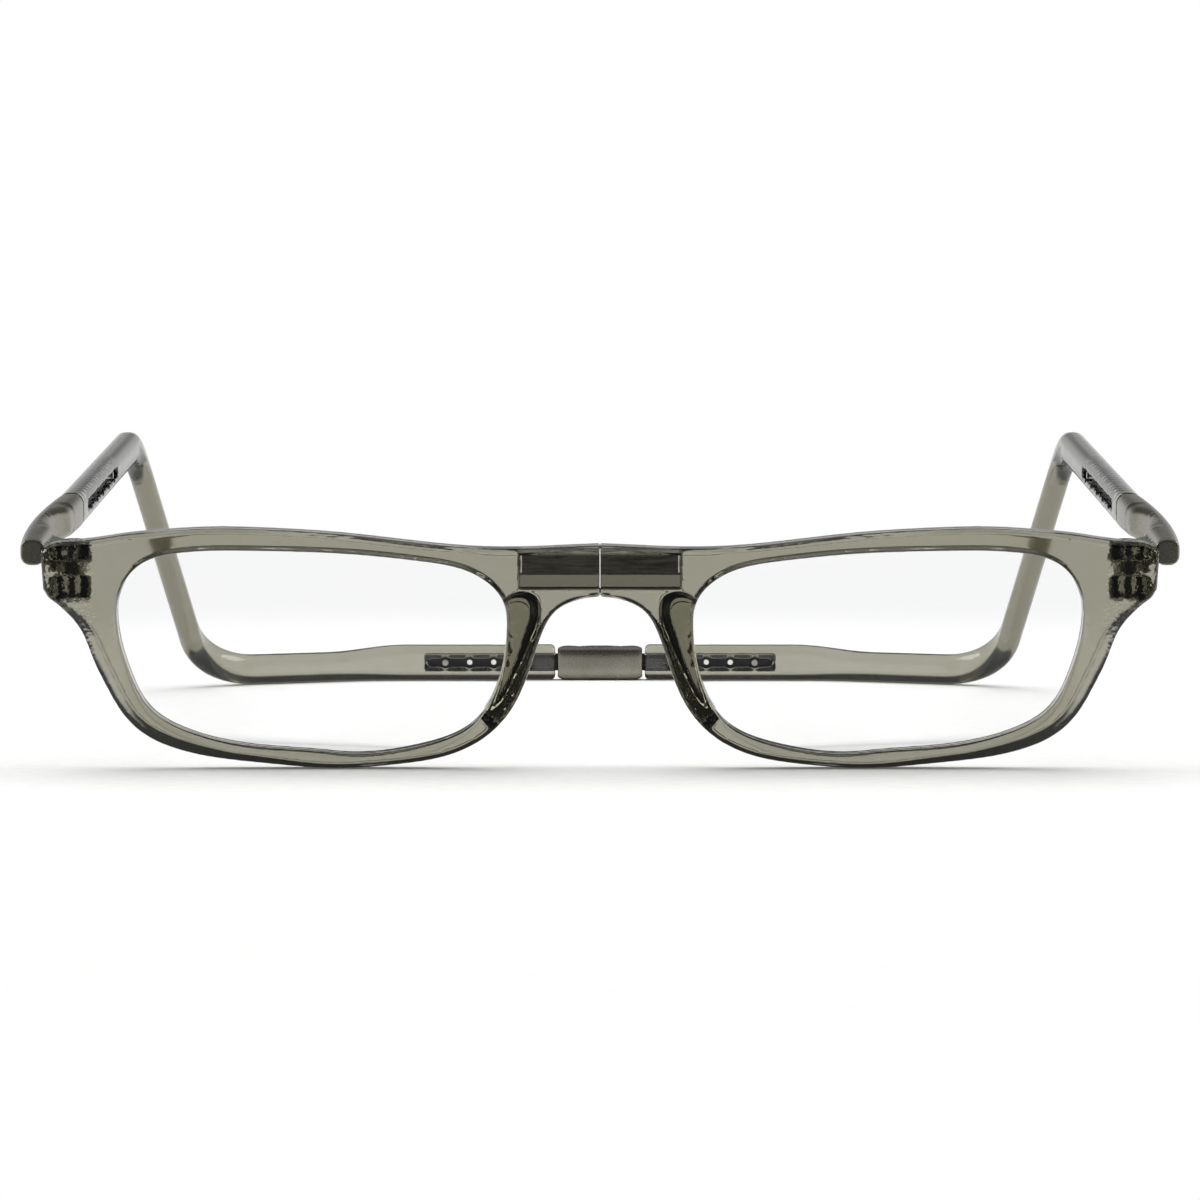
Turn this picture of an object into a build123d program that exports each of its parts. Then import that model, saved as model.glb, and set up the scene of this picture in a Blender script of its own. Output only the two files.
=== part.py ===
"""Magnetic bridge reading glasses, lying on a table, in millimetres.

X runs across the face (left of the wearer is +X), the front looks along -Y and Z is up. Every piece
that there are two of is modelled on the wearer's left and mirrored to the right.
"""

import os
from math import cos, radians, sin, tan

from build123d import *

os.makedirs("parts", exist_ok=True)

# Whole glasses. The front leans forward over the table, and the arms rise at the same angle behind it.
front_lean = 6.2
front_half_width = 70.9
rim_height = 30.9
rim_thickness = 4.0
headband_depth = 165.0

# Outlines of the left rim, nose side to temple, as shares of front_half_width and rim_height.
lower_outline_shares = (
    (0.035, 0.707), (0.081, 0.654), (0.103, 0.570), (0.130, 0.388), (0.164, 0.230), (0.213, 0.120),
    (0.276, 0.053), (0.369, 0.016), (0.482, 0.000), (0.588, 0.018), (0.689, 0.044), (0.765, 0.084),
    (0.823, 0.149), (0.857, 0.227), (0.886, 0.343), (0.909, 0.456), (0.930, 0.579), (0.959, 0.661),
    (0.987, 0.714),
)
bridge_arch_share = 0.717
end_foot_shares = (0.9965, 0.750)
end_top_share = 0.910
brow_shares = (
    (0.982, 0.934), (0.931, 0.948), (0.859, 0.971), (0.780, 0.989), (0.701, 0.999), (0.602, 0.995),
    (0.468, 0.976), (0.340, 0.943), (0.227, 0.919), (0.113, 0.918),
)
bridge_top_share = 0.929

# Front bevel, which starts below a small step round the front face. Its inward width at each point of the
# lower outline and the brow is a share of bevel_width.
bevel_width = 1.5
bevel_depth = 0.75
bevel_step = 0.15
lower_bevel_shares = (
    0.20, 0.26, 0.30, 0.32, 0.32, 0.32, 0.32, 0.32, 0.36, 0.50, 0.75, 0.95,
    1.00, 1.05, 1.15, 1.15, 0.90, 0.50, 0.24,
)
brow_bevel_share = 0.22

# Lens opening, between the walls that the rim leaves round it, as shares of its own width and height.
opening_left = 11.85
opening_foot = 2.0
end_wall = 9.65
brow_wall = 2.8
opening_shares = (
    (0.448, 0.000), (0.675, 0.038), (0.831, 0.113), (0.920, 0.218), (0.969, 0.391), (0.999, 0.605),
    (0.993, 0.797), (0.940, 0.931), (0.837, 0.990), (0.651, 1.000), (0.428, 0.987), (0.216, 0.948),
    (0.070, 0.872), (0.009, 0.751), (0.001, 0.582), (0.027, 0.326), (0.088, 0.146), (0.218, 0.038),
)
opening_edge_round = 0.45
rear_bevel_width = 0.6
rear_bevel_depth = 0.4

# Lens: an edge flange in the rim's groove, a long-radius front and a rear that runs parallel to it.
groove_depth = 0.6
groove_setback = 1.7
groove_width = 1.3
lens_clearance = 0.05
lens_front_radius = 400.0
lens_front_setback = 0.9
lens_thickness = 2.0

# Bridge: the halves meet at the middle, with faces that open a little towards the front.
bridge_gap = 0.1
bridge_face_draft = 1.6
magnet_end_gap = 0.3
magnet_length = 9.6
magnet_height = 2.3
magnet_depth = 1.8
pocket_setback = 1.3
pocket_end_room = 0.5
pocket_floor = 0.9
pocket_roof = 0.8
pocket_clearance = 0.05
upper_rib_height = 0.45

# Nose pad, moulded on the rear of the rim. Its outline follows the rim's inner end, as shares of
# front_half_width and rim_height, and its rear is drawn in all round and leans away from the nose.
pad_shares = (
    (0.200, 0.172), (0.210, 0.220), (0.191, 0.311), (0.178, 0.421), (0.172, 0.550), (0.171, 0.655),
    (0.158, 0.712), (0.133, 0.728), (0.110, 0.704), (0.103, 0.641), (0.115, 0.537), (0.128, 0.440),
    (0.145, 0.343), (0.168, 0.246), (0.186, 0.184),
)
pad_reach = 2.8
pad_draft = 0.7
pad_lean = 0.9

# Hinge: rim knuckles above and below the arm's knuckle, on an axis along the front's own upright.
hinge_inset = 3.6
hinge_setback = 1.9
knuckle_radius = 1.8
arm_knuckle_radius = 1.6
knuckle_web_inner = 2.4
knuckle_web_outer = 2.7
upper_knuckle_drop = 0.65
upper_knuckle_height = 2.1
arm_knuckle_drop = 2.75
lower_knuckle_drop = 5.45
knuckle_gap = 0.1
screw_radius = 0.6
screw_clearance = 0.04
screw_head_radius = 1.05
screw_head_height = 0.8
screw_head_sink = 0.1
screw_slot_width = 0.35
screw_slot_depth = 0.3

# Arm: the satin front part of the side arm, as stations between its front end and its seam. Each stands
# proud of the arm's middle line, which runs outside the front and under its top.
arm_outset = 1.3
arm_drop = 3.55
arm_front_gap = 0.35
arm_seam = 42.5
seam_gap = 0.12
arm_front_proud = 1.7
arm_front_width = 3.1
arm_front_height = 3.4
arm_bulge_proud = 2.75
arm_bulge_width = 4.0
arm_bulge_height = 4.4
arm_rear_proud = 2.4
arm_rear_width = 4.1
arm_rear_height = 4.8
arm_bulge_share = 0.5
arm_rear_share = 0.8
arm_corner_share = 0.4
root_setback = 2.8
root_length = 5.8
root_drop = 1.2
root_offset = 1.0
root_edge_round = 1.2
stem_outer = 2.9
stem_overlap = 2.5
scoop_radius = 16.0
scoop_depth = 1.6

# Headband tube.
band_width = 3.6
band_height = 4.9
band_corner_share = 0.417
band_twist = 33.0
bend_setback = 46.0
bend_radius = 14.0
low_corner_inset = 7.2
low_corner_setback = 14.0
low_corner_radius = 15.0
back_corner_x = 37.5
back_corner_radius = 22.0
station_pitch = 3.2
end_station_share = 0.25
seam_chamfer = 0.15

# Headband's rear end, which is taller and squarer.
band_end_gap = 0.35
band_end_widening = 0.2
band_end_rise = 1.0
band_end_corner_share = 0.29
band_swell_length = 13.0
band_end_chamfer = 0.5

# Scalloped slots on the inner faces of the tube and the rear end.
slot_clearance = 0.15
scallop_depth = 0.3
arm_slot_setback = 5.7
arm_detent_setback = 4.3
arm_detent_pitch = 7.0
arm_detent_count = 5
arm_slot_margin = 3.9
back_slot_setback = 3.85
back_detent_setback = 2.4
back_detent_pitch = 4.0
back_detent_count = 4
back_slot_margin = 3.0

# Spring-steel tongues and their studs.
tongue_thickness = 0.8
tongue_height = 2.8
tongue_corner = 0.6
tongue_sink = 9.0
tongue_clearance = 0.05
tongue_side_room = 0.08
tongue_edge_room = 0.15
tongue_end_room = 0.3
tongue_overrun = 0.3
tongue_hole_radius = 0.45
stud_radius = 0.5
stud_flange_radius = 0.8
stud_flange_thickness = 0.15
stud_recess = 0.25
stud_clearance = 0.03
slider_pin_setback = 4.0
slider_pin_radius = 0.6
slider_pin_length = 2.6

# Back connector and its pivots.
connector_length = 14.1
connector_widening = 0.2
connector_drop = 0.2
connector_chamfer = 0.45
barrel_radius = 1.1
barrel_clearance = 0.2
cavity_edge_room = 0.4
pivot_inset = 3.65
pivot_pin_radius = 0.5
pivot_pin_floor = 0.4
pivot_pin_sink = 0.2
pivot_clearance = 0.05

# One overrun serves every cut, and root_overlap every boss that grows out of a body.
overrun = 2.0
root_overlap = 0.5

# Places and sizes that follow from those above.
arm_x = front_half_width + arm_outset
arm_height = rim_height - arm_drop
arm_start = rim_thickness + arm_front_gap
arm_length = arm_seam - arm_start
hinge_x = front_half_width - hinge_inset
hinge_depth = rim_thickness + hinge_setback
upper_knuckle_foot = arm_height - upper_knuckle_drop
arm_knuckle_foot = arm_height - arm_knuckle_drop
lower_knuckle_foot = arm_height - lower_knuckle_drop
opening_width = front_half_width - opening_left - end_wall
opening_height = rim_height - opening_foot - brow_wall
pocket_foot = rim_height * bridge_arch_share + pocket_floor
pocket_height = rim_height * bridge_top_share - pocket_roof - pocket_foot
pocket_length = magnet_end_gap + magnet_length + pocket_end_room
tube_inner_width = tongue_thickness + 2 * (stud_flange_thickness + tongue_side_room)
tube_inner_height = tongue_height + 2 * tongue_edge_room
band_end_width = band_width + band_end_widening
band_end_height = band_height + band_end_rise
band_end_x = connector_length / 2 + band_end_gap
arm_slot_start = arm_seam + arm_slot_setback
back_slot_start = band_end_x + back_slot_setback
arm_detents = [
    arm_slot_start + arm_detent_setback + arm_detent_pitch * count for count in range(arm_detent_count)
]
back_detents = [
    back_slot_start + back_detent_setback + back_detent_pitch * count for count in range(back_detent_count)
]
arm_tongue_start = arm_seam - tongue_sink
arm_tongue_end = arm_detents[-1] + arm_slot_margin + tongue_overrun
back_tongue_end = back_detents[-1] + back_slot_margin + tongue_overrun
slider_pin_station = arm_tongue_start + slider_pin_setback
pivot_x = connector_length / 2 - pivot_inset

# The front's own directions and the place of its foot, which centres the glasses on the origin.
lean_rise = sin(radians(front_lean))
lean_run = cos(radians(front_lean))
foot_y = (rim_height * lean_rise - headband_depth - band_end_width / 2) / 2
back_y = foot_y + headband_depth
foot_z = -bevel_depth * lean_rise
front_plane = Plane(origin=(0, foot_y, foot_z), x_dir=(1, 0, 0), z_dir=(0, -lean_run, -lean_rise))


def deck(height):
    """A plane square to the front at a height up it: local x across, local y rearward."""
    middle = front_plane.from_local_coords((0, height, 0))
    return Plane(origin=middle, x_dir=(1, 0, 0), z_dir=(0, -lean_rise, lean_run))


def side(x):
    """A plane along the arm at a distance from the middle: local x rearward, local y up."""
    middle = front_plane.from_local_coords((x, 0, 0))
    return Plane(origin=middle, x_dir=(0, lean_run, lean_rise), z_dir=(1, 0, 0))


def back(depth):
    """An upright plane across the rear of the headband: local x across, local y up."""
    return Plane.XZ.offset(-back_y - depth)


# Rim
def rim_corner(shares):
    return (front_half_width * shares[0], rim_height * shares[1])


def rim_outline(inset):
    """Outline of the left half of the front, drawn in by inset times each point's bevel share.

    It runs on past the middle, symmetrically, so that the bridge meets it level.
    """
    lower = [rim_corner(pair) for pair in lower_outline_shares]
    foot = rim_corner(end_foot_shares)
    run = [(-lower[0][0], lower[0][1]), (0, rim_height * bridge_arch_share), *lower, foot]
    lower_in = []
    for place, share in enumerate((lower_bevel_shares[0], *lower_bevel_shares), start=1):
        along = Vector(*run[place + 1]) - Vector(*run[place - 1])
        inward = Vector(-along.Y, along.X).normalized()
        lower_in.append(Vector(*run[place]) + inward * inset * share)
    past_arch = Vector(-lower_in[1].X, lower_in[1].Y)
    step = inset * brow_bevel_share
    foot_in = Vector(foot[0] - step, foot[1])
    end_in = Vector(front_half_width - step, rim_height * end_top_share - step)
    brow_in = [Vector(*rim_corner(pair)) - Vector(0, step) for pair in brow_shares]
    top_in = Vector(0, rim_height * bridge_top_share - step)
    past_top = Vector(-brow_in[-1].X, brow_in[-1].Y)
    with BuildSketch(Plane.XY, mode=Mode.PRIVATE) as outline:
        with BuildLine():
            Spline(past_arch, *lower_in)
            Polyline(lower_in[-1], foot_in, end_in)
            Spline(end_in, *brow_in, top_in, past_top)
            Line(past_top, past_arch)
        make_face()
    return outline.sketch


def closed_outline(points, growth):
    """Smooth closed outline through the points, with each moved outwards by growth."""
    grown = []
    for before, place, after in zip(points[-1:] + points, points, points[1:] + points[:1]):
        along = after - before
        grown.append(place + Vector(along.Y, -along.X).normalized() * growth)
    with BuildSketch(Plane.XY, mode=Mode.PRIVATE) as outline:
        with BuildLine():
            Spline(*grown, periodic=True)
        make_face()
    return outline.sketch


def opening_outline(growth):
    """Lens opening, grown by growth."""
    points = [
        Vector(opening_left + opening_width * across, opening_foot + opening_height * up)
        for across, up in opening_shares
    ]
    return closed_outline(points, growth)


hinge_spot = (hinge_x, hinge_depth)
arm_knuckle_height = upper_knuckle_foot - knuckle_gap - arm_knuckle_foot
knuckle_top = upper_knuckle_foot + upper_knuckle_height
front_axis = Axis(front_plane.origin, front_plane.z_dir)


def bridge_face(depth):
    """Place of the bridge's drafted face at a depth behind the front."""
    return (bridge_gap + (rim_thickness - depth) * tan(radians(bridge_face_draft)), depth)


def knuckle(foot, height):
    """One rim knuckle with the web that joins it to the rim's rear face."""
    with BuildPart(mode=Mode.PRIVATE) as lug:
        with BuildSketch(deck(foot)):
            with Locations(hinge_spot):
                Circle(knuckle_radius)
            with BuildLine():
                Polyline(
                    (hinge_x - knuckle_web_inner, rim_thickness - root_overlap),
                    (hinge_x + knuckle_web_outer, rim_thickness - root_overlap),
                    (hinge_x + knuckle_web_outer, rim_thickness),
                    (hinge_x + knuckle_radius, hinge_depth),
                    (hinge_x - knuckle_radius, hinge_depth),
                    (hinge_x - knuckle_web_inner, rim_thickness),
                    close=True,
                )
            make_face()
        extrude(amount=height)
    return lug.part


with BuildPart() as rim:
    # Front face down to its step, front bevel, middle and rear bevel
    with BuildSketch(front_plane):
        add(rim_outline(bevel_width))
    extrude(amount=-bevel_step)
    for depth, inset in ((bevel_step, bevel_width), (bevel_depth, 0)):
        with BuildSketch(front_plane.offset(-depth)):
            add(rim_outline(inset))
    loft(ruled=True)
    with BuildSketch(front_plane.offset(-bevel_depth)):
        add(rim_outline(0))
    extrude(amount=bevel_depth + rear_bevel_depth - rim_thickness)
    for depth, inset in ((rim_thickness - rear_bevel_depth, 0), (rim_thickness, rear_bevel_width)):
        with BuildSketch(front_plane.offset(-depth)):
            add(rim_outline(inset))
    loft(ruled=True)
    # Nose pad on the rear, which the lens opening trims
    pad_ends = (
        (rim_thickness - root_overlap, 0, 0),
        (rim_thickness + pad_reach, -pad_draft, pad_lean),
    )
    for depth, growth, lean in pad_ends:
        pad_points = [Vector(*rim_corner(pair)) + Vector(lean, 0) for pair in pad_shares]
        with BuildSketch(front_plane.offset(-depth)):
            add(closed_outline(pad_points, growth))
    loft(ruled=True)
    # Lens opening and the groove for the lens's edge
    with BuildSketch(front_plane.offset(overrun)):
        add(opening_outline(0))
    extrude(amount=-rim_thickness - pad_reach - 2 * overrun, mode=Mode.SUBTRACT)
    front_face = rim.faces().sort_by(front_axis)[-1]
    fillet(front_face.inner_wires()[0].edges(), opening_edge_round)
    with BuildSketch(front_plane.offset(-groove_setback)):
        add(opening_outline(groove_depth))
    extrude(amount=-groove_width, mode=Mode.SUBTRACT)
    # Hinge knuckles and the bore of their screw
    add(knuckle(upper_knuckle_foot, upper_knuckle_height))
    add(knuckle(lower_knuckle_foot, arm_knuckle_foot - knuckle_gap - lower_knuckle_foot))
    with BuildSketch(deck(lower_knuckle_foot)):
        with Locations(hinge_spot):
            Circle(screw_radius + screw_clearance)
    extrude(amount=knuckle_top - lower_knuckle_foot, mode=Mode.SUBTRACT)
    with BuildSketch(deck(knuckle_top - screw_head_height)):
        with Locations(hinge_spot):
            Circle(screw_head_radius + screw_clearance)
    extrude(amount=screw_head_height, mode=Mode.SUBTRACT)
    # Rear pocket of the magnet, open at the bridge's face
    with BuildSketch(deck(pocket_foot)):
        with Locations((0, pocket_setback)):
            Rectangle(2 * pocket_length, overrun + rim_thickness, align=(Align.CENTER, Align.MIN))
    extrude(amount=pocket_height, mode=Mode.SUBTRACT)
    # Bridge face, drafted so that the halves swing apart freely
    with BuildSketch(deck(-overrun)):
        with BuildLine():
            Polyline(
                bridge_face(-overrun),
                bridge_face(rim_thickness + overrun),
                (-front_half_width, rim_thickness + overrun),
                (-front_half_width, -overrun),
                close=True,
            )
        make_face()
    extrude(amount=rim_height + 2 * overrun, mode=Mode.SUBTRACT)

# Lens: a flange in the groove, and inside the opening a body with a convex front and a parallel rear.
opening_middle = (opening_left + opening_width / 2, opening_foot + opening_height / 2)
dome_centre = front_plane.from_local_coords((*opening_middle, -lens_front_setback - lens_front_radius))

with BuildPart() as lens:
    with BuildSketch(front_plane.offset(-groove_setback - lens_clearance)):
        add(opening_outline(groove_depth - lens_clearance))
    extrude(amount=2 * lens_clearance - groove_width)
    with BuildSketch(front_plane):
        add(opening_outline(-lens_clearance))
    extrude(amount=-rim_thickness)
    with Locations(dome_centre):
        Sphere(lens_front_radius, mode=Mode.INTERSECT)
        Sphere(lens_front_radius - lens_thickness, mode=Mode.SUBTRACT)

# Magnet, with its end face just inside the bridge's face
magnet_foot = pocket_foot + pocket_height - 2 * pocket_clearance - upper_rib_height - magnet_height
with BuildPart() as bridge_magnet:
    with BuildSketch(deck(magnet_foot)):
        with Locations((magnet_end_gap, pocket_setback)):
            Rectangle(magnet_length, magnet_depth, align=Align.MIN)
    extrude(amount=magnet_height)

# Cover: a plate that closes the pocket, with a rib under the magnet and one over it
cover_length = pocket_length - pocket_clearance - magnet_end_gap
lower_rib_height = magnet_foot - pocket_foot - 2 * pocket_clearance
ribs = (
    (pocket_foot + pocket_clearance, lower_rib_height),
    (magnet_foot + magnet_height + pocket_clearance, upper_rib_height - pocket_clearance),
)
with BuildPart() as magnet_cover:
    with BuildSketch(deck(pocket_foot + pocket_clearance)):
        with Locations((magnet_end_gap, pocket_setback + magnet_depth)):
            Rectangle(
                cover_length, rim_thickness - pocket_setback - magnet_depth, align=Align.MIN
            )
    extrude(amount=pocket_height - 2 * pocket_clearance)
    for foot, height in ribs:
        with BuildSketch(deck(foot)):
            with Locations((magnet_end_gap, pocket_setback)):
                Rectangle(cover_length, rim_thickness - pocket_setback, align=Align.MIN)
        extrude(amount=height)

# Screw: its head sunk in the upper knuckle, its shank down to the lower knuckle's foot
with BuildPart() as hinge_screw:
    with BuildSketch(deck(lower_knuckle_foot)):
        with Locations(hinge_spot):
            Circle(screw_radius)
    extrude(amount=knuckle_top - lower_knuckle_foot)
    with BuildSketch(deck(knuckle_top - screw_head_height)):
        with Locations(hinge_spot):
            Circle(screw_head_radius)
    extrude(amount=screw_head_height - screw_head_sink)
    with BuildSketch(deck(knuckle_top - screw_head_sink - screw_slot_depth)):
        with Locations(hinge_spot):
            Rectangle(3 * screw_head_radius, screw_slot_width)
    extrude(amount=screw_slot_depth + overrun, mode=Mode.SUBTRACT)


# Arm
arm_stations = (
    (0, arm_front_proud, arm_front_width, arm_front_height),
    (arm_bulge_share, arm_bulge_proud, arm_bulge_width, arm_bulge_height),
    (arm_rear_share, arm_rear_proud, arm_rear_width, arm_rear_height),
    (1, band_width / 2, band_width, band_height),
)
root_start = hinge_depth + root_setback
root_end = root_start + root_length
root_inner = hinge_x + root_offset
scoop_axis = (
    arm_x + arm_bulge_proud - arm_bulge_width + scoop_depth - scoop_radius,
    arm_start + arm_length * arm_bulge_share,
)
with BuildPart() as arm:
    for share, proud, width, height in arm_stations:
        depth = arm_start + arm_length * share
        station = Plane(
            origin=front_plane.from_local_coords((arm_x + proud - width / 2, arm_height, -depth)),
            x_dir=(1, 0, 0),
            z_dir=front_plane.z_dir,
        )
        with BuildSketch(station):
            RectangleRounded(width, height, width * arm_corner_share)
    loft()
    # Root of the knuckle, on the inner side behind the hinge
    with BuildSketch(deck(arm_height - arm_front_height / 2)):
        with BuildLine():
            Polyline(
                (arm_x, root_start),
                (root_inner, root_start),
                (root_inner, root_end),
                (arm_x, root_end + root_length),
                close=True,
            )
        make_face()
        fillet(vertices().sort_by(Axis.X)[:2], root_edge_round)
    extrude(amount=arm_front_height - root_drop)
    # Knuckle, with a stem back to the root
    with BuildSketch(deck(arm_knuckle_foot)):
        with Locations(hinge_spot):
            Circle(arm_knuckle_radius)
        with Locations((hinge_x - arm_knuckle_radius, hinge_depth)):
            Rectangle(arm_knuckle_radius + stem_outer, root_setback + stem_overlap, align=Align.MIN)
    extrude(amount=arm_knuckle_height)
    # Finger scoop on the inner side
    with BuildSketch(deck(0)):
        with Locations(scoop_axis):
            Circle(scoop_radius)
    extrude(amount=rim_height + 2 * overrun, mode=Mode.SUBTRACT)
    with BuildSketch(deck(arm_knuckle_foot)):
        with Locations(hinge_spot):
            Circle(screw_radius + screw_clearance)
    extrude(amount=arm_knuckle_height, mode=Mode.SUBTRACT)
    # Socket of the tongue and the blind bore of its pin
    with BuildSketch(front_plane.offset(-arm_tongue_start)):
        with Locations((arm_x, arm_height)):
            Rectangle(tongue_thickness + 2 * tongue_clearance, tongue_height + 2 * tongue_clearance)
    extrude(amount=arm_tongue_start - arm_seam - overrun, mode=Mode.SUBTRACT)
    with BuildSketch(side(arm_x - slider_pin_length / 2)):
        with Locations((slider_pin_station, arm_height)):
            Circle(slider_pin_radius + stud_clearance)
    extrude(amount=slider_pin_length, mode=Mode.SUBTRACT)

# Headband: along the arm, down behind the ear and round the back of the head
band_seam = front_plane.from_local_coords((arm_x, arm_height, -arm_seam - seam_gap))
bend_corner = front_plane.from_local_coords((arm_x, arm_height, bend_setback - headband_depth))
low_corner = Vector(arm_x - low_corner_inset, back_y - low_corner_setback, band_height / 2)
back_corner = Vector(back_corner_x, back_y, band_height / 2)
band_end = Vector(band_end_x, back_y, band_height / 2)
with BuildLine() as headband_run:
    FilletPolyline(
        band_seam,
        bend_corner,
        low_corner,
        back_corner,
        band_end,
        radius=[bend_radius, low_corner_radius, back_corner_radius],
    )
run_wire = headband_run.wire()
tube_length = run_wire.edges().sort_by(Axis.Y)[0].length
rear_length = run_wire.edges().sort_by(Axis.X)[0].length
bends_end = run_wire.length - rear_length
rear_middle = band_end_height / 2


def band_station(distance):
    """Section plane at a distance along the run: local x points away from the head.

    It is level where the run is, and turns forward by band_twist times the steepness where the run drops.
    """
    place = run_wire.position_at(distance, position_mode=PositionMode.LENGTH)
    along = run_wire.tangent_at(distance, position_mode=PositionMode.LENGTH)
    level = along.cross(Vector(0, 0, 1))
    turned = level.rotate(Axis(place, along), band_twist * max(-along.Z, 0))
    return Plane(origin=place, x_dir=turned, z_dir=along)


def band_section(distance):
    """Plane, width, height and corner of the band, which swells to its rear end on a level foot."""
    grown = min(max((distance - bends_end) / band_swell_length + 1, 0), 1)
    share = grown * grown * (3 - 2 * grown)
    width = band_width + (band_end_width - band_width) * share
    height = band_height + (band_end_height - band_height) * share
    corner = width * (band_corner_share + (band_end_corner_share - band_corner_share) * share)
    station = band_station(distance)
    station.origin += Vector(0, 0, (height - band_height) / 2)
    return station, width, height, corner


def scalloped_slot(start, margin, detents, height):
    """Slot from a place along x to a margin past its last detent, with a round scallop at each."""
    slot_radius = stud_radius + slot_clearance
    end = detents[-1] + margin
    with BuildSketch(Plane.XY, mode=Mode.PRIVATE) as slot:
        with Locations(((start + end) / 2, height)):
            SlotOverall(end - start, 2 * slot_radius)
        with Locations(*[(place, height) for place in detents]):
            Circle(slot_radius + scallop_depth)
    return slot.sketch


station_count = round((bends_end - tube_length) / station_pitch)
bend_pitch = (bends_end - tube_length) / station_count
bend_distances = [tube_length + bend_pitch * count for count in range(station_count + 1)]
bend_distances.insert(1, tube_length + bend_pitch * end_station_share)
bend_distances.insert(-1, bends_end - bend_pitch * end_station_share)

with BuildPart() as band:
    # Bends, with the straight tube before them and the straight rear end after
    for distance in bend_distances:
        station, *size = band_section(distance)
        with BuildSketch(station):
            RectangleRounded(*size)
    loft()
    for distance, length in ((0, tube_length), (bends_end, rear_length)):
        station, *size = band_section(distance)
        with BuildSketch(station):
            RectangleRounded(*size)
        extrude(amount=length)
    chamfer(band.faces().sort_by(Axis.X)[0].edges(), band_end_chamfer)
    chamfer(band.faces().sort_by(Axis.Y)[0].edges(), seam_chamfer)
    # Bores for the tongues
    with BuildSketch(band_station(0)):
        Rectangle(tube_inner_width, tube_inner_height)
    extrude(amount=arm_tongue_end - arm_seam - seam_gap + tongue_end_room, mode=Mode.SUBTRACT)
    with BuildSketch(Plane.YZ.offset(band_end_x)):
        with Locations((back_y, rear_middle)):
            Rectangle(tube_inner_width, tube_inner_height)
    extrude(amount=back_tongue_end - band_end_x + tongue_end_room, mode=Mode.SUBTRACT)
    # Scalloped slots through the inner walls
    with BuildSketch(side(arm_x)):
        add(scalloped_slot(arm_slot_start, arm_slot_margin, arm_detents, arm_height))
    extrude(amount=-band_width, mode=Mode.SUBTRACT)
    with BuildSketch(back(0)):
        add(scalloped_slot(back_slot_start, back_slot_margin, back_detents, rear_middle))
    extrude(amount=band_end_width, mode=Mode.SUBTRACT)


# Tongues, which slide in the bores of the band
def stud(plane, place, wall_width):
    """Stud with its flange on the outer side of a tongue, reaching into the slot of the inner wall."""
    outer = tongue_thickness / 2
    with BuildPart(mode=Mode.PRIVATE) as pin:
        with BuildSketch(plane.offset(-outer - stud_flange_thickness)):
            with Locations(place):
                Circle(stud_flange_radius)
        extrude(amount=stud_flange_thickness)
        with BuildSketch(plane.offset(-outer)):
            with Locations(place):
                Circle(stud_radius)
        extrude(amount=outer + wall_width / 2 - stud_recess)
    return pin.part


outer_side = side(arm_x)
inner_side = Plane(outer_side.origin, x_dir=-outer_side.x_dir, z_dir=-outer_side.z_dir)
arm_stud_place = (-arm_detents[-1], arm_height)
with BuildPart() as arm_slider:
    with BuildSketch(inner_side.offset(-tongue_thickness / 2)):
        with Locations((-(arm_tongue_start + arm_tongue_end) / 2, arm_height)):
            RectangleRounded(arm_tongue_end - arm_tongue_start, tongue_height, tongue_corner)
        with Locations(arm_stud_place):
            Circle(stud_radius + stud_clearance, mode=Mode.SUBTRACT)
        with Locations((-slider_pin_station, arm_height)):
            Circle(slider_pin_radius + stud_clearance, mode=Mode.SUBTRACT)
    extrude(amount=tongue_thickness)

with BuildPart() as slider_pin:
    with BuildSketch(inner_side.offset(-slider_pin_length / 2)):
        with Locations((-slider_pin_station, arm_height)):
            Circle(slider_pin_radius)
    extrude(amount=slider_pin_length)

with BuildPart() as arm_detent_pin:
    add(stud(inner_side, arm_stud_place, band_width))

back_stud_place = (back_detents[-1], rear_middle)
with BuildPart() as back_slider:
    with BuildSketch(back(tongue_thickness / 2)):
        with Locations(((pivot_x + back_tongue_end) / 2, rear_middle)):
            Rectangle(back_tongue_end - pivot_x, tongue_height)
        with Locations(back_stud_place):
            Circle(stud_radius + stud_clearance, mode=Mode.SUBTRACT)
        with Locations(*[(place, rear_middle) for place in back_detents[:-1]]):
            Circle(tongue_hole_radius, mode=Mode.SUBTRACT)
    extrude(amount=tongue_thickness)
    with BuildSketch(Plane.XY.offset(rear_middle - tongue_height / 2)):
        with Locations((pivot_x, back_y)):
            Circle(barrel_radius)
    extrude(amount=tongue_height)
    with BuildSketch(Plane.XY.offset(rear_middle - tongue_height / 2)):
        with Locations((pivot_x, back_y)):
            Circle(pivot_pin_radius + pivot_clearance)
    extrude(amount=tongue_height, mode=Mode.SUBTRACT)

with BuildPart() as back_detent_pin:
    add(stud(back(0), back_stud_place, band_end_width))

# Connector between the halves of the headband, with a pivot for each tongue
connector_height = band_end_height - connector_drop
with BuildPart() as connector_pin:
    with BuildSketch(Plane.XY.offset(pivot_pin_floor)):
        with Locations((pivot_x, back_y)):
            Circle(pivot_pin_radius)
    extrude(amount=connector_height - pivot_pin_sink - pivot_pin_floor)

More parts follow.
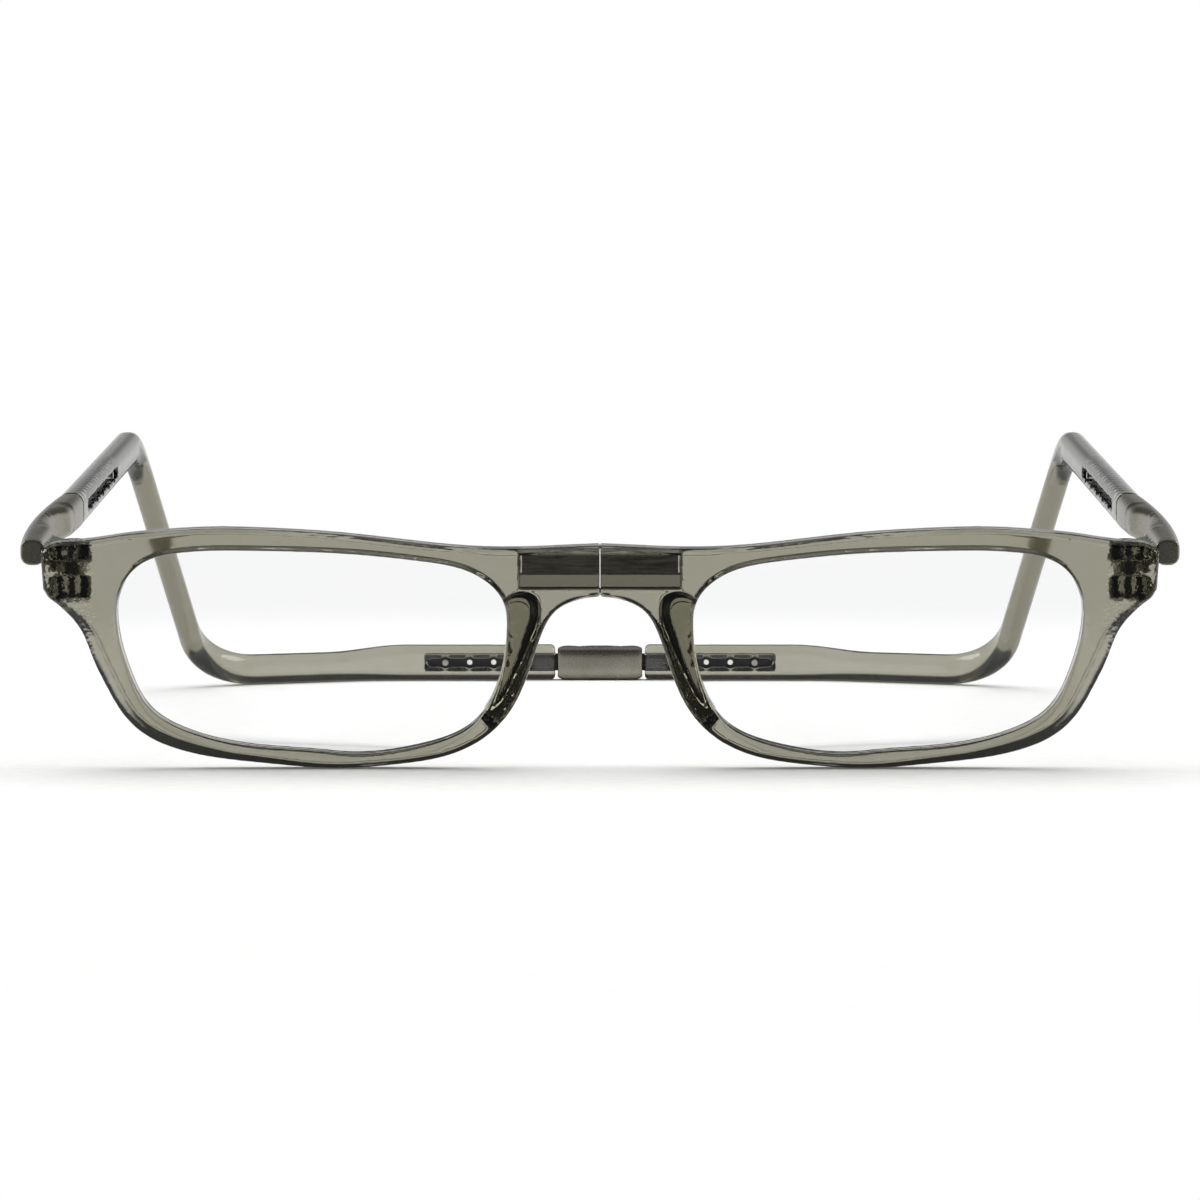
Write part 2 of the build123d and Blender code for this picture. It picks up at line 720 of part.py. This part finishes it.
with BuildPart() as back_connector:
    with BuildSketch():
        with Locations((0, back_y)):
            Rectangle(connector_length, band_end_width + connector_widening)
    extrude(amount=connector_height)
    chamfer(back_connector.edges(), connector_chamfer)
    with BuildSketch(Plane.YZ.offset(-connector_length)):
        with Locations((back_y, rear_middle)):
            Rectangle(2 * (barrel_radius + barrel_clearance), tongue_height + 2 * cavity_edge_room)
    extrude(amount=2 * connector_length, mode=Mode.SUBTRACT)
    with BuildSketch(Plane.XY.offset(pivot_pin_floor)):
        with Locations((pivot_x, back_y), (-pivot_x, back_y)):
            Circle(pivot_pin_radius + stud_clearance)
    extrude(amount=connector_height, mode=Mode.SUBTRACT)

# Every piece of the wearer's left, and its mirror image on the right
left_pieces = {
    "rim": rim,
    "lens": lens,
    "bridge_magnet": bridge_magnet,
    "magnet_cover": magnet_cover,
    "hinge_screw": hinge_screw,
    "arm": arm,
    "arm_slider": arm_slider,
    "slider_pin": slider_pin,
    "arm_detent_pin": arm_detent_pin,
    "band": band,
    "back_slider": back_slider,
    "back_detent_pin": back_detent_pin,
    "connector_pin": connector_pin,
}
for name, left in left_pieces.items():
    with BuildPart() as right:
        mirror(left.part, about=Plane.YZ)
    left.part.label = "left_" + name
    right.part.label = "right_" + name
    export_step(left.part, "parts/left_" + name + ".step")
    export_step(right.part, "parts/right_" + name + ".step")

back_connector.part.label = "back_connector"
export_step(back_connector.part, "parts/back_connector.step")
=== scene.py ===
import math

import bpy
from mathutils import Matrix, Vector


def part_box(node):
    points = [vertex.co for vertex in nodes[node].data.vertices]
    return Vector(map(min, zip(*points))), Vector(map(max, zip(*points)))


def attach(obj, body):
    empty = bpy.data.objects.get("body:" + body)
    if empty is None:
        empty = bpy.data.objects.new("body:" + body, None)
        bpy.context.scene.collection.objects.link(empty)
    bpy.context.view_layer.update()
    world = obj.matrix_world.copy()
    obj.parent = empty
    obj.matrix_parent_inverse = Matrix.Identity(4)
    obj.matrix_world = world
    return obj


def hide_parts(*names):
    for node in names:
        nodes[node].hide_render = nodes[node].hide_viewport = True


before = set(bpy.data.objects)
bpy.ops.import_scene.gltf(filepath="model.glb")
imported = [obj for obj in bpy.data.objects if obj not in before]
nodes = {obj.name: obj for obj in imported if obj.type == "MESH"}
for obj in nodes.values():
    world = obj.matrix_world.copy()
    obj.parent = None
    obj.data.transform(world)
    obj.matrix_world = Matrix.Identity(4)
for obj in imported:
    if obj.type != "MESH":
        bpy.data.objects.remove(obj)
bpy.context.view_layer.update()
print("frame loaded:", len(nodes), "pieces")

mm = 0.001


# Materials

def hexColor(code):
    # sRGB hex to the linear values that Blender works in
    channels = [int(code[i:i + 2], 16) / 255 for i in (1, 3, 5)]
    return [c / 12.92 if c <= 0.04045 else ((c + 0.055) / 1.055) ** 2.4 for c in channels] + [1.0]


def addNode(material, kind, settings=None, stops=(), **inputs):
    # one node with its settings and a ramp's two stops; each input is a value or a socket to link
    node = material.node_tree.nodes.new(kind)
    for name, value in (settings or {}).items():
        setattr(node, name, value)
    for index, (place, color) in enumerate(stops):
        node.color_ramp.elements[index].position = place
        node.color_ramp.elements[index].color = color
    for name, value in inputs.items():
        byPlace = name.startswith("in") and name[2:].isdigit()
        socket = node.inputs[int(name[2:]) if byPlace else name.replace("_", " ")]
        if isinstance(value, bpy.types.NodeSocket):
            material.node_tree.links.new(value, socket)
        else:
            socket.default_value = value
    return node


def newMaterial(name):
    material = bpy.data.materials.new(name)
    material.use_nodes = True
    material.node_tree.nodes.clear()
    return material


noiseSpan = (0.3, 0.7)  # noise seldom leaves these values, so they stand for its lowest and highest
white = hexColor("#ffffff")


def twoTone(colors):
    # a ramp's stops from the first colour to the second over the span of a noise
    return [(end, hexColor(color)) for end, color in zip(noiseSpan, colors)]


def clearPlastic(name, look):
    # moulded and polished clear plastic: coloured in its depth, with a faint waviness from the mould,
    # and the lamps' light comes through in its shadow
    material = newMaterial(name)
    place = addNode(material, "ShaderNodeTexCoord").outputs["Object"]
    haze = addNode(material, "ShaderNodeTexNoise", Vector=place, Scale=1 / look["hazeSize"], Detail=3.0)
    wave = addNode(material, "ShaderNodeTexNoise", Vector=place, Scale=1 / look["waveSize"], Detail=1.0)
    polish = addNode(material, "ShaderNodeMapRange", in0=haze.outputs[0], in1=noiseSpan[0],
                     in2=noiseSpan[1], in3=look["roughness"][0], in4=look["roughness"][1])
    tint = addNode(material, "ShaderNodeValToRGB", stops=twoTone(look["surface"]), in0=haze.outputs[0])
    bump = addNode(material, "ShaderNodeBump", Height=wave.outputs[0], Strength=look["waveStrength"],
                   Distance=look["waveHeight"])
    if look["pressed"]:
        aside = addNode(material, "ShaderNodeMath", {"operation": "ABSOLUTE"},
                        in0=addNode(material, "ShaderNodeSeparateXYZ", in0=place).outputs["X"])
        strength = addNode(material, "ShaderNodeMapRange", {"interpolation_type": "SMOOTHSTEP"},
                           in0=aside.outputs[0], in1=look["pressedFrom"][0], in2=look["pressedFrom"][1],
                           in3=0.0, in4=look["pressed"])
        pattern = addNode(material, "ShaderNodeTexNoise", Vector=place, Scale=1 / look["pressedSize"],
                          Detail=1.0)
        bump = addNode(material, "ShaderNodeBump", Height=pattern.outputs[0],
                       Strength=strength.outputs[0], Distance=look["pressedHeight"],
                       Normal=bump.outputs[0])
    shader = addNode(material, "ShaderNodeBsdfPrincipled", Base_Color=tint.outputs[0],
                     Roughness=polish.outputs[0], IOR=look["ior"], Transmission_Weight=1.0,
                     Normal=bump.outputs[0])
    passing = addNode(material, "ShaderNodeBsdfTransparent", Color=hexColor(look["shadow"]))
    shadowRay = addNode(material, "ShaderNodeLightPath").outputs["Is Shadow Ray"]
    surface = addNode(material, "ShaderNodeMixShader", in0=shadowRay, in1=shader.outputs[0],
                      in2=passing.outputs[0])
    output = addNode(material, "ShaderNodeOutputMaterial", Surface=surface.outputs[0])
    if look["absorption"]:
        depth = addNode(material, "ShaderNodeVolumeAbsorption", Color=hexColor(look["absorption"]),
                        Density=look["density"])
        material.node_tree.links.new(depth.outputs[0], output.inputs["Volume"])
    return material


smoke = {  # polycarbonate dyed smoke grey, injection moulded and tumble polished: glossy and clear,
    # with dark and light lines where its edges bend the view
    "surface": ("#fbfbf8", "#ffffff"),
    "absorption": "#b8b6a3",  # 4 mm of it look mid grey with a touch of olive
    "density": 520.0,
    "ior": 1.585,
    "roughness": (0.02, 0.07),
    "hazeSize": 2.5 * mm,
    "waveSize": 9 * mm,
    "waveStrength": 0.25,
    "waveHeight": 0.1 * mm,
    "shadow": "#b9b8b0",
    "pressed": 0.0,
}
rimSmoke = {  # the same, uneven around the hinges where the mould presses the knuckles
    **smoke,
    "pressed": 1.0,
    "pressedFrom": (63.5 * mm, 65.5 * mm),  # from the middle outwards
    "pressedSize": 0.6 * mm,
    "pressedHeight": 0.09 * mm,
}
coverSmoke = {**smoke, "absorption": "#a8a595", "density": 900.0}  # the magnet's cover: the smoke plastic with a denser, darker absorption, which darkens the strip below the magnet
clearLens = {  # cast acrylic lens, polished on both sides: only its edge and its gloss show
    "surface": ("#fdfefe", "#ffffff"),
    "absorption": "",
    "density": 0.0,
    "ior": 1.49,
    "roughness": (0.0, 0.015),
    "hazeSize": 12 * mm,
    "waveSize": 30 * mm,
    "waveStrength": 0.02,
    "waveHeight": 0.02 * mm,
    "shadow": "#f4f4f4",
    "pressed": 0.0,
}
smokePolycarbonate = clearPlastic("smokePolycarbonate", smoke)
rimPolycarbonate = clearPlastic("rimPolycarbonate", rimSmoke)
coverPolycarbonate = clearPlastic("coverPolycarbonate", coverSmoke)
lensAcrylic = clearPlastic("lensAcrylic", clearLens)


satin = {  # injection-moulded polycarbonate under a satin pearl lacquer: dark where it sees the dark
    # room, light where it sees the backdrop, with soft broad highlights and a fine grain
    "colors": ("#908d81", "#9e9b8f"),
    "flowSpan": (0.35, 0.65),  # the noise values at which the two colours stand
    "flowSize": 6 * mm,
    "grainSize": 0.12 * mm,  # the real flakes are finer; this is the finest that shows
    "grainHeight": 0.006 * mm,
    "grainStrength": 0.5,
    "roughness": (0.22, 0.32),
    "metallic": 0.93,  # the share of the surface that the pearl flakes cover
    "ior": 1.5,
}
satinLacquer = newMaterial("satinLacquer")
place = addNode(satinLacquer, "ShaderNodeTexCoord").outputs["Object"]
flow = addNode(satinLacquer, "ShaderNodeTexNoise", Vector=place, Scale=1 / satin["flowSize"], Detail=2.0)
grain = addNode(satinLacquer, "ShaderNodeTexNoise", Vector=place, Scale=1 / satin["grainSize"],
                Detail=2.0)
tone = addNode(satinLacquer, "ShaderNodeValToRGB", in0=flow.outputs[0],
               stops=[(end, hexColor(color)) for end, color in zip(satin["flowSpan"], satin["colors"])])
gloss = addNode(satinLacquer, "ShaderNodeMapRange", in0=grain.outputs[0], in1=noiseSpan[0],
                in2=noiseSpan[1], in3=satin["roughness"][0], in4=satin["roughness"][1])
bump = addNode(satinLacquer, "ShaderNodeBump", Height=grain.outputs[0], Strength=satin["grainStrength"],
               Distance=satin["grainHeight"])
shader = addNode(satinLacquer, "ShaderNodeBsdfPrincipled", Base_Color=tone.outputs[0],
                 Metallic=satin["metallic"], Roughness=gloss.outputs[0], IOR=satin["ior"],
                 Normal=bump.outputs[0])
addNode(satinLacquer, "ShaderNodeOutputMaterial", Surface=shader.outputs[0])


lineStrength = 0.3  # of the bump that brushing leaves


def brushedMetal(name, look):
    # metal whose brushing runs along one axis, drawn as stretched noise
    material = newMaterial(name)
    place = addNode(material, "ShaderNodeTexCoord").outputs["Object"]
    stretched = addNode(material, "ShaderNodeMapping", Vector=place, Scale=look["stretch"])
    lines = addNode(material, "ShaderNodeTexNoise", Vector=stretched.outputs[0],
                    Scale=1 / look["lineWidth"], Detail=3.0)
    tone = addNode(material, "ShaderNodeValToRGB", stops=twoTone(look["colors"]), in0=lines.outputs[0])
    gloss = addNode(material, "ShaderNodeMapRange", in0=lines.outputs[0], in1=noiseSpan[0],
                    in2=noiseSpan[1], in3=look["roughness"][0], in4=look["roughness"][1])
    bump = addNode(material, "ShaderNodeBump", Height=lines.outputs[0], Strength=lineStrength,
                   Distance=look["lineWidth"] * look["lineDepthShare"])
    shader = addNode(material, "ShaderNodeBsdfPrincipled", Base_Color=tone.outputs[0], Metallic=1.0,
                     Roughness=gloss.outputs[0], Normal=bump.outputs[0])
    addNode(material, "ShaderNodeOutputMaterial", Surface=shader.outputs[0])
    return material


# Each real grain below is finer than a render shows, so its lines are drawn as wide as they need to be.
springSteel = brushedMetal("springSteelStrip", {  # rolled spring strip, oil-blackened: dull dark grey
    "colors": ("#2c2c2d", "#454444"), "roughness": (0.3, 0.5), "lineWidth": 0.15 * mm,
    "stretch": (1.0, 0.06, 1.0), "lineDepthShare": 0.05,
})
turnedSteel = brushedMetal("turnedSteel", {  # stainless pins and screws, turned: bright and even
    "colors": ("#b5b3ad", "#d2d0ca"), "roughness": (0.2, 0.35), "lineWidth": 0.1 * mm,
    "stretch": (1.0, 1.0, 1.0), "lineDepthShare": 0.05,
})
nickelPlate = brushedMetal("nickelPlatedMagnet", {  # sintered, plated and tumbled: streaky along the bar
    "colors": ("#7d7870", "#e6e1d6"), "roughness": (0.2, 0.4), "lineWidth": 0.4 * mm,
    "stretch": (0.12, 1.0, 1.0), "lineDepthShare": 0.08,
})
finishes = {
    "rim": rimPolycarbonate,
    "lens": lensAcrylic,
    "bridge_magnet": nickelPlate,
    "magnet_cover": coverPolycarbonate,
    "hinge_screw": turnedSteel,
    "arm": satinLacquer,
    "arm_slider": springSteel,
    "slider_pin": turnedSteel,
    "arm_detent_pin": turnedSteel,
    "band": smokePolycarbonate,
    "back_slider": springSteel,
    "back_detent_pin": turnedSteel,
    "connector_pin": turnedSteel,
    "back_connector": satinLacquer,
}
for name, node in nodes.items():
    finish = finishes[name.removeprefix("left_").removeprefix("right_")]
    node.data.materials.clear()
    node.data.materials.append(finish)
print("materials on the frame's pieces")


# Softened mouldings: a copy of a piece with its doubles merged, remeshed finely and smoothed

def selectWhere(piece, test):
    # goes into edit mode with only the vertices that pass the test selected
    bpy.ops.object.mode_set(mode="EDIT")
    bpy.ops.mesh.select_mode(type="VERT")
    bpy.ops.mesh.select_all(action="DESELECT")
    bpy.ops.object.mode_set(mode="OBJECT")
    for vertex in piece.data.vertices:
        vertex.select = test(vertex.co)
    bpy.ops.object.mode_set(mode="EDIT")


frontLean = math.radians(6.2)  # of the front face from upright
rimHeight = 30.9 * mm  # up the leaning face
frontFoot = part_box("left_rim")[0].y + rimHeight * math.sin(frontLean)


def frontPlace(place):
    # across from the middle, behind the leaning front face, and up it
    behind = place.y - frontFoot
    return (abs(place.x), behind * math.cos(frontLean) + place.z * math.sin(frontLean),
            place.z * math.cos(frontLean) - behind * math.sin(frontLean))


def isWithin(place, ranges):
    # every coordinate lies between its own two ends
    return all(low < value < high for value, (low, high) in zip(place, ranges))


mergeDistance = 0.001 * mm


def softened(source, name, look):
    # a merged copy of a node, remeshed to small even faces and smoothed so that its edges are round
    bpy.ops.object.select_all(action="DESELECT")
    piece = bpy.data.objects.new(name, source.data.copy())
    bpy.context.scene.collection.objects.link(piece)
    bpy.context.view_layer.objects.active = piece
    piece.select_set(True)
    bpy.ops.object.mode_set(mode="EDIT")
    bpy.ops.mesh.select_all(action="SELECT")
    bpy.ops.mesh.remove_doubles(threshold=mergeDistance)
    bpy.ops.object.mode_set(mode="OBJECT")
    bpy.ops.object.modifier_add(type="REMESH")
    piece.modifiers[-1].mode = "VOXEL"
    piece.modifiers[-1].voxel_size = look["voxel"]
    bpy.ops.object.modifier_apply(modifier=piece.modifiers[-1].name)
    bpy.ops.object.modifier_add(type="SMOOTH")
    piece.modifiers[-1].factor = look["strength"]
    piece.modifiers[-1].iterations = look["passes"]
    bpy.ops.object.modifier_apply(modifier=piece.modifiers[-1].name)
    bpy.ops.object.shade_smooth()
    piece.data.materials.clear()
    piece.data.materials.append(source.data.materials[0])
    return piece


# Rims, tumble polished: every edge is rounded and the nose pads flow into the fronts

rimPolish = {
    "voxel": 0.2 * mm,
    "passes": 8,
    "strength": 0.5,
    "bridgeEdge": 0.6 * mm,  # the bridge's end face is within this of the middle
    "bridgeShift": 0.15 * mm,  # and goes this far back towards it after the smoothing
    "pad": ((6 * mm, 16 * mm), (4.1 * mm, 8 * mm), (3 * mm, 25 * mm)),  # across, behind the front, up
    "padPasses": 25,
}
for side, way in (("left", -1), ("right", 1)):
    rim = softened(nodes[side + "_rim"], side + "_polishedRim", rimPolish)
    selectWhere(rim, lambda place: abs(place.x) < rimPolish["bridgeEdge"])
    bpy.ops.transform.translate(value=(way * rimPolish["bridgeShift"], 0, 0))
    bpy.ops.object.mode_set(mode="OBJECT")
    selectWhere(rim, lambda place: isWithin(frontPlace(place), rimPolish["pad"]))
    bpy.ops.mesh.vertices_smooth(factor=rimPolish["strength"], repeat=rimPolish["padPasses"])
    bpy.ops.object.mode_set(mode="OBJECT")
    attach(rim, side + "_front")
    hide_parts(side + "_rim")
    print("polished rim:", side, len(rim.data.polygons), "faces")


# Arms: the finger scoop runs out softly into the satin surface

armSoftness = {
    "voxel": 0.25 * mm,
    "passes": 3,
    "strength": 0.5,
    "scoop": ((68 * mm, 73.2 * mm), (15 * mm, 34 * mm), (20 * mm, 34 * mm)),  # across, back and up
    "scoopPasses": 45,
}
for side in ("left", "right"):
    arm = softened(nodes[side + "_arm"], side + "_satinArm", armSoftness)
    selectWhere(arm, lambda place: isWithin(frontPlace(place), armSoftness["scoop"]))
    bpy.ops.mesh.vertices_smooth(factor=armSoftness["strength"], repeat=armSoftness["scoopPasses"])
    bpy.ops.object.mode_set(mode="OBJECT")
    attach(arm, side + "_temple")
    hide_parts(side + "_arm")
    print("satin arm:", side, len(arm.data.polygons), "faces")


# Headband halves: rounded all along, as tumbling leaves them

bandPolish = {"voxel": 0.25 * mm, "passes": 8, "strength": 0.5}
for side in ("left", "right"):
    band = softened(nodes[side + "_band"], side + "_polishedBand", bandPolish)
    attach(band, side + "_headband")
    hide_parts(side + "_band")
    print("polished band:", side, len(band.data.polygons), "faces")


# Connector: its outside is crowned and its ends are round

connectorSoftness = {
    "voxel": 0.2 * mm,
    "passes": 5,
    "strength": 0.5,
    "shell": 0.45 * mm,  # the outside is what lies this near to the piece's box
    "shellPasses": 60,
}
connector = softened(nodes["back_connector"], "satinConnector", connectorSoftness)
low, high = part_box("back_connector")
selectWhere(connector, lambda place: min(place.y - low.y, high.y - place.y, place.z - low.z,
                                         high.z - place.z) < connectorSoftness["shell"])
bpy.ops.mesh.vertices_smooth(factor=connectorSoftness["strength"],
                             repeat=connectorSoftness["shellPasses"])
bpy.ops.object.mode_set(mode="OBJECT")
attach(connector, "connector")
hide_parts("back_connector")
print("satin connector:", len(connector.data.polygons), "faces")


# Table: pale paper that takes soft shadows and fades into the white backdrop

def seenDirectly(tree):
    # 1 for rays from the camera and those that gloss or clear plastic passes on, else 0
    rays = addNode(tree, "ShaderNodeLightPath").outputs
    seen = addNode(tree, "ShaderNodeMath", {"operation": "MAXIMUM"}, in0=rays["Is Camera Ray"],
                   in1=rays["Is Glossy Ray"])
    return addNode(tree, "ShaderNodeMath", {"operation": "MAXIMUM"}, in0=seen.outputs[0],
                   in1=rays["Is Transmission Ray"]).outputs[0]


studio = {
    "light": 0.5,  # what falls on matt surfaces from all round
    "room": 0.04,  # the dark room that polished surfaces see around the white sweep
    "gloss": 0.75,  # how bright the sweep is in reflections
    "panel": 0.8,  # tall soft boxes at both sides
    "panelEdge": (0.84, 0.94),  # sines across from which they are seen
    "panelTop": (0.3, 0.5),
    "ceiling": 0.45,  # the room's lit ceiling
    "ceilingEdge": (0.55, 0.85),
    "sweepTop": (0.12, 0.42),  # sines of the heights between which the white sweep ends in gloss
    "sweepTopThrough": (0.03, 0.16),  # and as seen through clear plastic
    "sweepEdge": (0.1, 0.6),  # the same across: 0 is straight to the side, 1 straight back
    "aheadEdge": (0.1, 0.3),  # forward of these, what is seen through a single wall is white as well
    "wallBounces": 2.5,  # a ray that has gone in and out of one wall has met fewer surfaces than this
}


def roomTone(tree, heading):
    # how bright the room is along a heading: white behind the glasses up to the sweep's top, a panel at
    # each side, a dim ceiling and dark elsewhere, and always white straight from the camera
    parts = addNode(tree, "ShaderNodeSeparateXYZ", in0=heading).outputs
    rays = addNode(tree, "ShaderNodeLightPath").outputs
    ends = [addNode(tree, "ShaderNodeMapRange", in0=rays["Is Transmission Ray"], in3=glossEnd,
                    in4=throughEnd).outputs[0]
            for glossEnd, throughEnd in zip(studio["sweepTop"], studio["sweepTopThrough"])]
    low = addNode(tree, "ShaderNodeMapRange", {"interpolation_type": "SMOOTHSTEP"}, in0=parts["Z"],
                  in1=ends[0], in2=ends[1], in3=1.0, in4=0.0)
    behind = addNode(tree, "ShaderNodeMapRange", {"interpolation_type": "SMOOTHSTEP"}, in0=parts["Y"],
                     in1=studio["sweepEdge"][0], in2=studio["sweepEdge"][1], in3=0.0, in4=1.0)
    sweep = addNode(tree, "ShaderNodeMath", {"operation": "MULTIPLY"}, in0=low.outputs[0],
                    in1=behind.outputs[0])
    aside = addNode(tree, "ShaderNodeMath", {"operation": "ABSOLUTE"}, in0=parts["X"])
    beside = addNode(tree, "ShaderNodeMapRange", {"interpolation_type": "SMOOTHSTEP"},
                     in0=aside.outputs[0], in1=studio["panelEdge"][0], in2=studio["panelEdge"][1],
                     in3=0.0, in4=studio["panel"])
    under = addNode(tree, "ShaderNodeMapRange", {"interpolation_type": "SMOOTHSTEP"}, in0=parts["Z"],
                    in1=studio["panelTop"][0], in2=studio["panelTop"][1], in3=1.0, in4=0.0)
    panel = addNode(tree, "ShaderNodeMath", {"operation": "MULTIPLY"}, in0=beside.outputs[0],
                    in1=under.outputs[0])
    overhead = addNode(tree, "ShaderNodeMapRange", {"interpolation_type": "SMOOTHSTEP"}, in0=parts["Z"],
                       in1=studio["ceilingEdge"][0], in2=studio["ceilingEdge"][1], in3=0.0,
                       in4=studio["ceiling"])
    sides = addNode(tree, "ShaderNodeMath", {"operation": "MAXIMUM"}, in0=panel.outputs[0],
                    in1=overhead.outputs[0])
    bright = addNode(tree, "ShaderNodeMath", {"operation": "MAXIMUM"}, in0=sweep.outputs[0],
                     in1=sides.outputs[0])
    level = addNode(tree, "ShaderNodeMapRange", in0=rays["Is Transmission Ray"], in3=studio["gloss"],
                    in4=1.0)
    dimmed = addNode(tree, "ShaderNodeMath", {"operation": "MULTIPLY"}, in0=bright.outputs[0],
                     in1=level.outputs[0])
    tone = addNode(tree, "ShaderNodeMath", {"operation": "MAXIMUM"}, in0=dimmed.outputs[0],
                   in1=studio["room"])
    ahead = addNode(tree, "ShaderNodeMapRange", {"interpolation_type": "SMOOTHSTEP"}, in0=parts["Y"],
                    in1=studio["aheadEdge"][0], in2=studio["aheadEdge"][1], in3=1.0, in4=0.0)
    oneWall = addNode(tree, "ShaderNodeMath", {"operation": "LESS_THAN"}, in0=rays["Ray Depth"],
                      in1=studio["wallBounces"])
    straight = addNode(tree, "ShaderNodeMath", {"operation": "MULTIPLY"}, in0=oneWall.outputs[0],
                       in1=rays["Is Transmission Ray"])
    clear = addNode(tree, "ShaderNodeMath", {"operation": "MULTIPLY"}, in0=straight.outputs[0],
                    in1=ahead.outputs[0])
    seen = addNode(tree, "ShaderNodeMath", {"operation": "MAXIMUM"}, in0=tone.outputs[0],
                   in1=clear.outputs[0])
    return addNode(tree, "ShaderNodeMath", {"operation": "MAXIMUM"}, in0=seen.outputs[0],
                   in1=rays["Is Camera Ray"]).outputs[0]


table = {
    "side": 6000 * mm,
    "colors": ("#e4e4e3", "#e9e9e8"),
    "fibreSize": 2.5 * mm,
    "fade": (140 * mm, 340 * mm),  # from lit paper to plain backdrop, by distance from the middle
    "drop": 0.02 * mm,
    "front": -60 * mm,  # polished surfaces see the table white behind here only
    "shade": 0.08,  # and this bright before it
}
bpy.ops.object.select_all(action="DESELECT")
bpy.ops.mesh.primitive_plane_add(size=table["side"], location=(0, 0, -table["drop"]))
floor = bpy.context.object
floor.name = "tableTop"
paper = newMaterial("whitePaper")
place = addNode(paper, "ShaderNodeTexCoord").outputs["Object"]
fibre = addNode(paper, "ShaderNodeTexNoise", Vector=place, Scale=1 / table["fibreSize"], Detail=2.0)
tone = addNode(paper, "ShaderNodeValToRGB", stops=twoTone(table["colors"]), in0=fibre.outputs[0])
matt = addNode(paper, "ShaderNodeBsdfDiffuse", Color=tone.outputs[0])
backdrop = addNode(paper, "ShaderNodeEmission", Color=white, Strength=1.0)
away = addNode(paper, "ShaderNodeVectorMath", {"operation": "LENGTH"}, in0=place)
fade = addNode(paper, "ShaderNodeMapRange", {"interpolation_type": "SMOOTHSTEP"},
               in0=away.outputs["Value"], in1=table["fade"][0], in2=table["fade"][1], in3=0.0, in4=1.0)
shown = addNode(paper, "ShaderNodeMixShader", in0=fade.outputs[0], in1=matt.outputs[0],
                in2=backdrop.outputs[0])
fromFront = addNode(paper, "ShaderNodeVectorMath", {"operation": "SUBTRACT"}, in0=place,
                    in1=(0, table["front"], 0))
heading = addNode(paper, "ShaderNodeVectorMath", {"operation": "NORMALIZE"}, in0=fromFront.outputs[0])
dark = addNode(paper, "ShaderNodeEmission", Color=white, Strength=table["shade"])
toned = addNode(paper, "ShaderNodeMixShader", in0=roomTone(paper, heading.outputs[0]),
                in1=dark.outputs[0], in2=shown.outputs[0])
mixed = addNode(paper, "ShaderNodeMixShader", in0=seenDirectly(paper), in1=matt.outputs[0],
                in2=toned.outputs[0])
addNode(paper, "ShaderNodeOutputMaterial", Surface=mixed.outputs[0])
floor.data.materials.append(paper)


# World and lamps

world = bpy.data.worlds.new("studio")
bpy.context.scene.world = world
world.use_nodes = True
world.node_tree.nodes.clear()
heading = addNode(world, "ShaderNodeTexCoord").outputs["Generated"]
plain = addNode(world, "ShaderNodeBackground", Color=white, Strength=studio["light"])
shown = addNode(world, "ShaderNodeBackground", Color=white, Strength=roomTone(world, heading))
mixed = addNode(world, "ShaderNodeMixShader", in0=seenDirectly(world), in1=plain.outputs[0],
                in2=shown.outputs[0])
addNode(world, "ShaderNodeOutputWorld", Surface=mixed.outputs[0])

lamps = {  # soft boxes in metres and watts, and whether polished surfaces mirror them
    "overhead": {"place": (0.0, 0.25, 0.9), "size": 1.2, "power": 9.0, "mirrored": False},
    "left": {"place": (-0.9, 0.1, 0.5), "size": 0.5, "power": 3.0, "mirrored": True},
    "right": {"place": (0.9, 0.0, 0.5), "size": 0.5, "power": 3.0, "mirrored": True},
}
lampAim = Vector((0, 0, 20 * mm))
for name, lamp in lamps.items():
    light = bpy.data.lights.new(name, "AREA")
    light.energy = lamp["power"]
    light.size = lamp["size"]
    light.shape = "SQUARE"
    holder = bpy.data.objects.new(name, light)
    bpy.context.scene.collection.objects.link(holder)
    holder.location = lamp["place"]
    holder.visible_glossy = lamp["mirrored"]
    holder.visible_transmission = lamp["mirrored"]
    holder.rotation_euler = (lampAim - holder.location).to_track_quat("-Z", "Y").to_euler()
print("table and light")


# Camera, at the photograph's distance in front of the rims and a little above them

shot = {
    "distance": 540 * mm,  # before the foot of the front
    "height": 48.9 * mm,
    "lens": 127.5,  # lens and sensor as Blender counts them, in millimetres
    "sensor": 36,
    "pitch": 2.896,  # degrees down
    "clip": (10 * mm, 20000 * mm),
}
camera = bpy.data.cameras.new("camera")
camera.lens = shot["lens"]
camera.sensor_width = shot["sensor"]
camera.clip_start, camera.clip_end = shot["clip"]
cameraHolder = bpy.data.objects.new("camera", camera)
bpy.context.scene.collection.objects.link(cameraHolder)
cameraHolder.location = (0, frontFoot - shot["distance"], shot["height"])
cameraHolder.rotation_euler = (math.radians(90 - shot["pitch"]), 0, 0)
bpy.context.scene.camera = cameraHolder
bpy.context.scene.view_settings.view_transform = "Standard"
print("camera")
